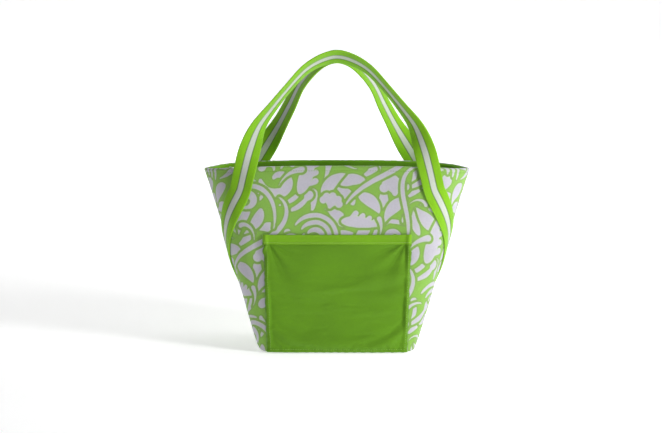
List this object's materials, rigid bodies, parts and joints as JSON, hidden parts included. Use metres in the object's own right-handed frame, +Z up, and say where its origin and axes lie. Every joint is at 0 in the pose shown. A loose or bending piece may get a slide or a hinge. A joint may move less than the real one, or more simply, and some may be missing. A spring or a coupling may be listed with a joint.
{
  "type": "insulated cooler bag",
  "caption": "Soft insulated tote with a printed shell, foam and foil lining, a patch pocket, striped webbing handles and a zipped top.",
  "frame": {"origin": "middle of the flat base, on the surface that the bag stands on", "axes": "+Z up, -Y towards the patch pocket, +X to the right when facing the pocket"},
  "size_m": [0.362, 0.1577, 0.4014],
  "materials": {
    "printed_shell": "matt woven polyester with a printed scroll and leaf pattern, pale lilac grey on light green",
    "pocket_fabric": "matt woven polyester, plain lime green",
    "binding_fabric": "woven binding, bright lime green, topstitched",
    "webbing": "flat woven webbing, lime green with a white stripe woven along its middle",
    "facing_fabric": "matt woven polyester, plain lime green",
    "lining_film": "soft silver foil lining film, satin",
    "foam": "closed-cell foam, white, matt",
    "board": "stiff fibre board, grey, matt",
    "zip_tape_cloth": "woven zip tape, lime green",
    "zip_coil_plastic": "moulded nylon coil, light green, satin",
    "zip_metal": "die-cast zip metal, nickel plated, satin"
  },
  "bodies": {
    "root": {"front_panel": "printed_shell", "back_panel": "printed_shell", "base_panel": "pocket_fabric", "base_board": "board", "front_foam": "foam", "back_foam": "foam", "base_foam": "foam", "front_lining": "lining_film", "back_lining": "lining_film", "base_lining": "lining_film", "front_rim_facing": "facing_fabric", "back_rim_facing": "facing_fabric", "pocket_panel": "pocket_fabric", "pocket_binding": "binding_fabric", "front_left_strap_tail": "webbing", "front_right_strap_tail": "webbing", "back_left_strap_tail": "webbing", "back_right_strap_tail": "webbing", "left_closure_end": "facing_fabric", "right_closure_end": "facing_fabric", "left_zip_end": "zip_coil_plastic", "right_zip_end": "zip_coil_plastic", "left_zip_stop": "zip_metal", "right_zip_stop": "zip_metal"},
    "front_handle": {"front_handle_strap": "webbing"},
    "back_handle": {"back_handle_strap": "webbing"},
    "front_flap": {"front_closure_flap": "facing_fabric", "front_flap_lining": "lining_film", "front_zip_tape": "zip_tape_cloth", "front_zip_coil": "zip_coil_plastic"},
    "back_flap": {"back_closure_flap": "facing_fabric", "back_flap_lining": "lining_film", "back_zip_tape": "zip_tape_cloth", "back_zip_coil": "zip_coil_plastic"},
    "slider": {"zip_slider": "zip_metal"},
    "pull": {"zip_pull": "zip_metal"}
  },
  "joints": [
    {"name": "front_handle_swing", "type": "hinge", "parent": "root", "child": "front_handle", "pos_m": [0, -0.0633, 0.215], "axis": [1, 0, 0], "range_deg": [0, 160]},
    {"name": "back_handle_swing", "type": "hinge", "parent": "root", "child": "back_handle", "pos_m": [0, 0.0633, 0.215], "axis": [-1, 0, 0], "range_deg": [0, 160]},
    {"name": "front_flap_fold", "type": "hinge", "parent": "root", "child": "front_flap", "pos_m": [0, -0.038, 0.2366], "axis": [-1, 0, 0], "range_deg": [0, 80]},
    {"name": "back_flap_fold", "type": "hinge", "parent": "root", "child": "back_flap", "pos_m": [0, 0.038, 0.2366], "axis": [1, 0, 0], "range_deg": [0, 80]},
    {"name": "zip_slider_travel", "type": "slide", "parent": "root", "child": "slider", "axis": [1, 0, 0], "range_m": [0, 0.29]},
    {"name": "zip_pull_swing", "type": "hinge", "parent": "slider", "child": "pull", "pos_m": [-0.145, 0, 0.2409], "axis": [0, -1, 0], "range_deg": [0, 180]}
  ]
}
